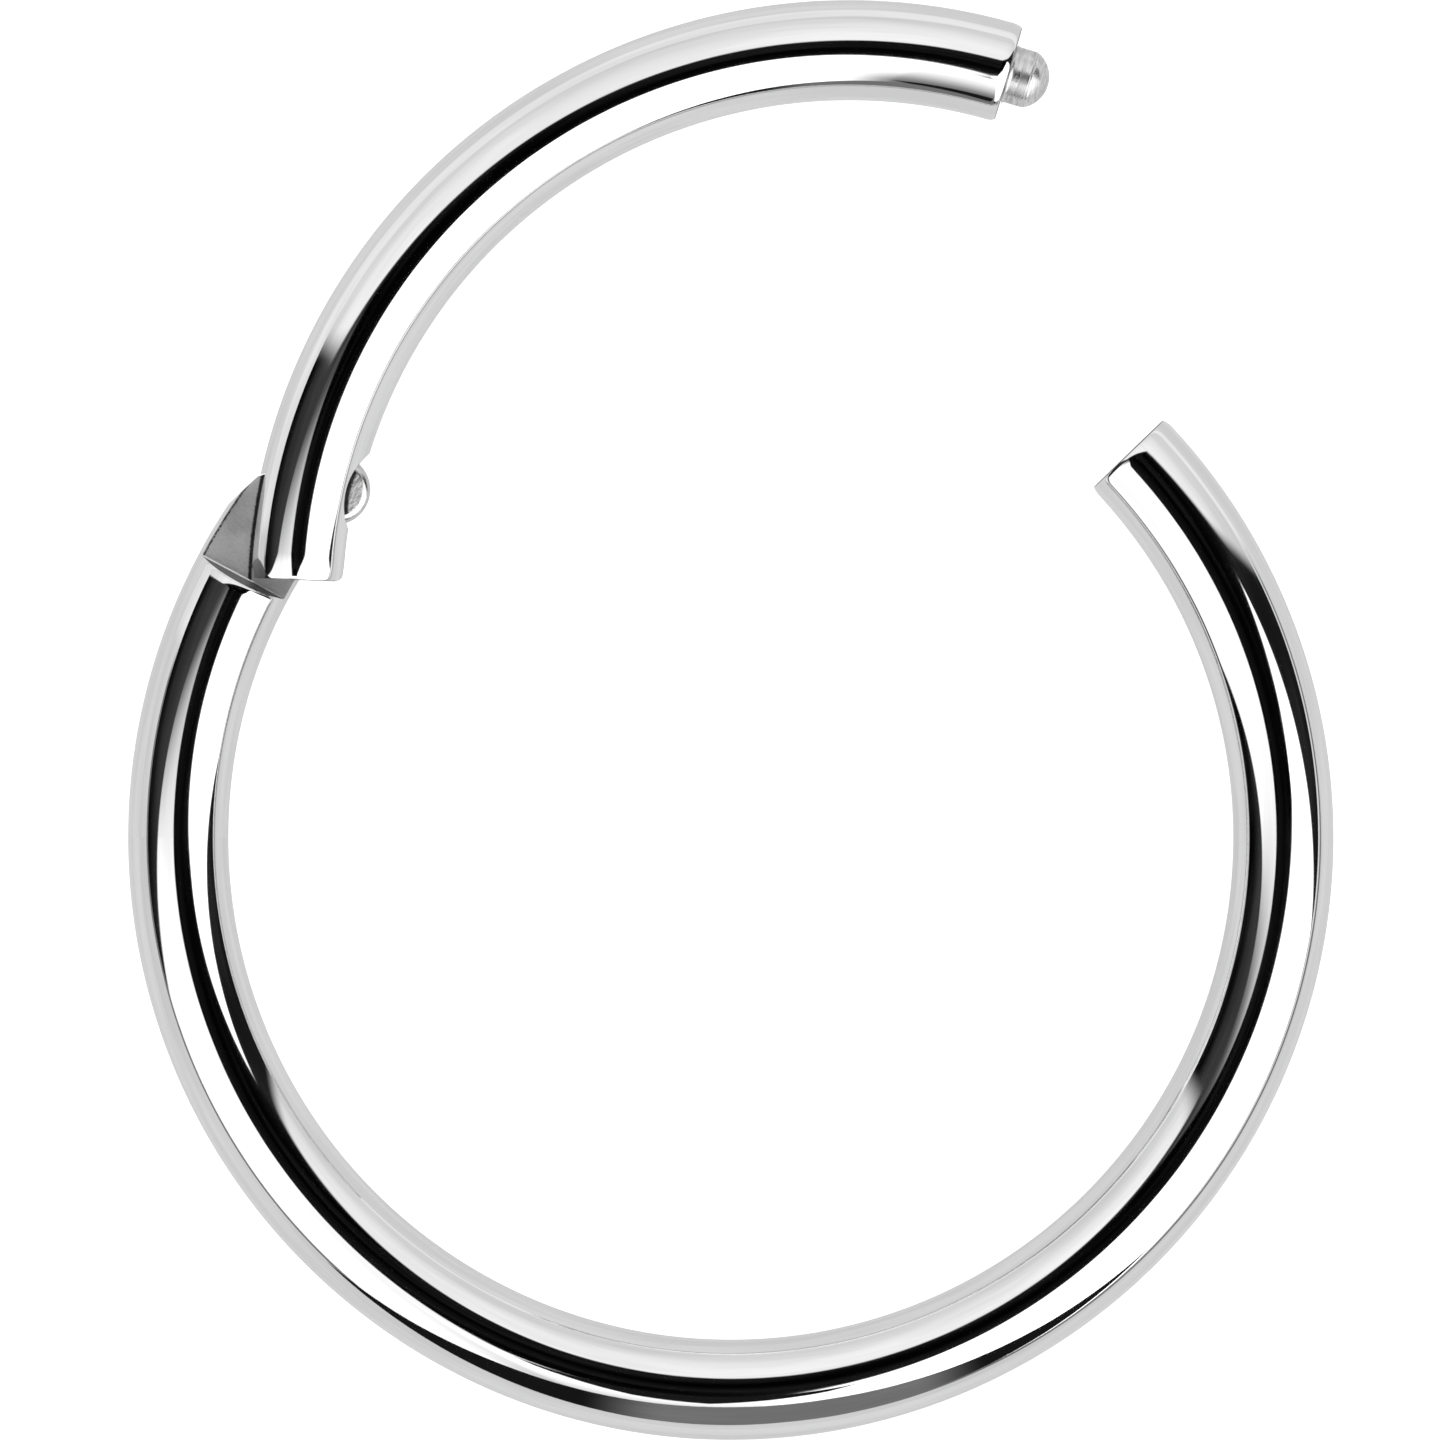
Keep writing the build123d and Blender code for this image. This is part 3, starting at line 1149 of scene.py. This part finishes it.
    def kerb(self) -> None:
        """Makes the low wall round the picture: pale with a grey rim, higher on the left, white behind."""
        bm = bmesh.new()
        radius = self.kerb_radius * MILLIMETRE
        bmesh.ops.create_cone(bm, cap_ends=False, segments=256, radius1=radius, radius2=radius,
                              depth=self.kerb_blank * MILLIMETRE)
        slant = Vector((-self.kerb_slope, 0, 1)).normalized()
        self.trim(bm, Vector(), -UP)
        self.trim(bm, UP * self.kerb_height, slant)
        nodes = self.staged("kerb", bm, "kerb_light")
        place = nodes.add("TexCoord").outputs["Object"]
        rise, rim = nodes.vector("DOT_PRODUCT", place, slant), self.kerb_height * slant.z - self.kerb_rim
        pale = nodes.step(rise, (rim + self.kerb_rim_blur) * MILLIMETRE,
                          (rim - self.kerb_rim_blur) * MILLIMETRE, *self.kerb_tones)
        at_back = nodes.vector("DOT_PRODUCT", place, direction(self.kerb_back) / MILLIMETRE)
        self.shine(nodes, nodes.math("MAXIMUM", pale, nodes.step(at_back, *self.kerb_back_fade)))

    def floor(self) -> None:
        """Makes the white floor."""
        bm = bmesh.new()
        bmesh.ops.create_grid(bm, x_segments=1, y_segments=1, size=self.floor_half * MILLIMETRE)
        nodes = self.staged("floor", bm, "white_floor", seen=True)
        seen = nodes.add("LightPath").outputs["Is Camera Ray"]
        glow = nodes.add("Emission", {"Strength": nodes.step(seen, *self.floor_glow)})
        matt = nodes.add("BsdfDiffuse", {"Color": (*grey(self.floor_tone), 1)})
        both = nodes.add("AddShader", {0: glow.outputs[0], 1: matt.outputs[0]})
        nodes.add("OutputMaterial", {"Surface": both.outputs[0]})

    def flag(self) -> None:
        """Makes the curved card just inside the kerb at the front, black with a grey middle."""
        bm = bmesh.new()
        rows = [[], []]
        for turn, *heights in self.flag_ribs:
            foot = direction(turn - 90) * self.flag_radius
            for row, height in zip(rows, heights):
                row.append(bm.verts.new((foot + UP * height) * MILLIMETRE))
        for low, high in zip(zip(rows[0], rows[0][1:]), zip(rows[1], rows[1][1:])):
            bm.faces.new((*low, *high[::-1]))
        nodes = self.staged("flag", bm, "flag_tone")
        across = nodes.add("SeparateXYZ", {0: nodes.add("TexCoord").outputs["Object"]}).outputs[0]
        middle = nodes.product(*(nodes.step(across, *ramp) for ramp in self.flag_middle))
        black, lighter = self.flag_tones
        self.shine(nodes, nodes.math("ADD", nodes.product(middle, lighter), black))

    def seam(self) -> None:
        """Makes the dark card where the two softboxes meet, as the front of the ring sees them."""
        bm = bmesh.new()
        bm.faces.new([bm.verts.new(Vector((x, self.seam_place, z)) * MILLIMETRE)
                      for x, z in self.seam_corners])
        self.shine(self.staged("seam", bm, "seam_tone"), self.seam_tone)

    @staticmethod
    def trim(bm: BMesh, place: Vector, facing: Vector) -> None:
        """Cuts away what lies beyond a plane.

        Args:
            bm: A shape in metres.
            place: A place on the plane, in millimetres.
            facing: The way to what goes away.
        """
        bmesh.ops.bisect_plane(bm, geom=bm.verts[:] + bm.edges[:] + bm.faces[:],
                               plane_co=place * MILLIMETRE, plane_no=facing, clear_outer=True)

    @staticmethod
    def staged(name: str, bm: BMesh, look: str, seen: bool = False) -> Nodes:
        """Makes a thing of the stage and starts its material, which gives light only where rays meet it.

        Args:
            name: The thing's name.
            bm: Its shape in metres, which is used up.
            look: The material's name.
            seen: Whether the camera and the floor see the thing, and not the ring alone.

        Returns:
            The material's node helper.
        """
        mesh, material = bpy.data.meshes.new(name), bpy.data.materials.new(look)
        bm.to_mesh(mesh)
        bm.free()
        material.cycles.emission_sampling = "NONE"
        material.use_nodes = True
        mesh.materials.append(material)
        thing = linked(name, mesh)
        thing.visible_camera = thing.visible_diffuse = seen
        return Nodes(material.node_tree)

    @staticmethod
    def shine(nodes: Nodes, strength: Socket | float) -> None:
        """Ends a material as white light of this strength."""
        glow = nodes.add("Emission", {"Strength": strength})
        nodes.add("OutputMaterial", {"Surface": glow.outputs[0]})

    def camera(self) -> None:
        """Makes the camera and gives it to the scene."""
        data = bpy.data.cameras.new("camera")
        data.sensor_width = self.sensor_width
        data.lens = data.sensor_width * self.camera_distance / self.frame_width
        data.clip_start, data.clip_end = 0.01, 10.0
        camera = linked("camera", data)
        camera.location = (Vector(self.aim) + UP * self.camera_distance) * MILLIMETRE
        bpy.context.scene.camera = camera

    def build(self) -> None:
        """Makes everything that isn't the ring."""
        world = bpy.data.worlds.new("studio")
        world.use_nodes = True
        nodes = Nodes(world.node_tree)
        light = nodes.add("Background", {"Color": (*grey(1.0), 1), "Strength": 1.0})
        nodes.add("OutputWorld", {"Surface": light.outputs[0]})
        bpy.context.scene.world = world
        bpy.context.scene.view_settings.view_transform = "Standard"
        for make in (self.floor, self.dome, self.kerb, self.flag, self.seam, self.camera):
            make()


def grey(tone: float) -> Tint:
    """A colour without a hue."""
    return (tone, tone, tone)


def ring_finishes() -> dict[str, Steel]:
    """Chooses the finishes of the large arc.

    Returns:
        The finishes by material name, in the order of the slots.
    """
    ring, carried = SIZES.ring_frame, SIZES.ring_frame.inverted() @ SIZES.segment_frame
    relief = carried @ (direction(SIZES.pivot_angle) * HingedSegment.relief_centre)
    # Dark lines on the tongue: the one round the open segment's centre is painted shade beside the cheek; the
    # one round the ring's centre runs along the tongue's outer edge.
    tongue_shade_and_edge_lines = (DarkLine(Vector(), 7.137, 0.026, gaps=0.8), DarkLine(carried @ Vector(), 7.168, 0.055))
    return {
        "polished_large_arc": PolishedSteel(ring),
        # The tongue's flat gets a lighter tint in reflections: painted light.
        "ground_tongue": GroundSteel(ring, turn=151.0, painted_light_in_reflections=grey(0.97), dark_lines=tongue_shade_and_edge_lines),
        # Its dark line along the relief's edge is painted shade of the cheek on the knuckle's flat.
        "faced_large_arc": GroundSteel(ring, turn=44.0, tint=grey(0.85), dark_tint=grey(0.45),
                                       roughness=0.22, relief_strength=0.6, grain=50.0,
                                       dark_lines=(DarkLine(relief, 0.80, 0.07),)),
        "shaded_shoulder": GroundSteel(ring, turn=61.0, tint=(0.04, 0.038, 0.04), dark_tint=grey(0.01),
                                       roughness=0.3),
        "satin_knuckle": GroundSteel(ring, tint=grey(0.66), dark_tint=grey(0.58), roughness=0.24,
                                     relief_strength=0.1),
        "edge_large_arc": dark_rim_finish(ring),
    }


def segment_finishes() -> dict[str, Steel]:
    """The finishes of the segment by material name: polished, ground, faced and darker edge."""
    segment = SIZES.segment_frame
    return {
        "polished_segment": PolishedSteel(segment),
        "ground_heel": GroundSteel(segment, turn=148.0),
        "faced_pin_end": GroundSteel(segment, turn=44.0, tint=grey(0.7), dark_tint=grey(0.5),
                                     roughness=0.25),
        "edge_segment": dark_rim_finish(segment),
    }


def dark_rim_finish(frame_in_mm: Matrix) -> GroundSteel:
    """The darker, rougher finish of the last rings of faces at a wire's end."""
    return GroundSteel(frame_in_mm, tint=grey(0.3), dark_tint=grey(0.2), roughness=0.2, relief_strength=0.1)


def main() -> None:
    """Builds the ring and its studio."""
    logging.basicConfig(level=logging.INFO, format="%(message)s")
    make_groups()
    on_ring = [steel.material(name) for name, steel in ring_finishes().items()]
    on_segment = [steel.material(name) for name, steel in segment_finishes().items()]
    on_segment[Surface.SHADED:Surface.SHADED] = [on_segment[Surface.GROUND]] * 2
    turned = TurnedSteel(ClosurePin.frame()).material("turned_pin")
    made = (
        (LargeArc().build(on_ring), "ring", "ring_arc", "polished_steel"),
        (HingedSegment().build(on_segment), "segment", "hinge_segment", "polished_steel"),
        (ClosurePin().build([turned]), "segment", "closure_pin", "turned_steel"),
    )
    for piece, body, node, slot in made:
        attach(piece, body)
        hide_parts(node)
        LOG.info("%s: %d faces on %s", piece.name, len(piece.data.polygons), body)
    hinge_pin = frame["nodes"]["hinge_pin"]
    hinge_pin.data.materials.clear()
    hinge_pin.data.materials.append(turned)
    Studio().build()


if __name__ == "__main__":
    main()
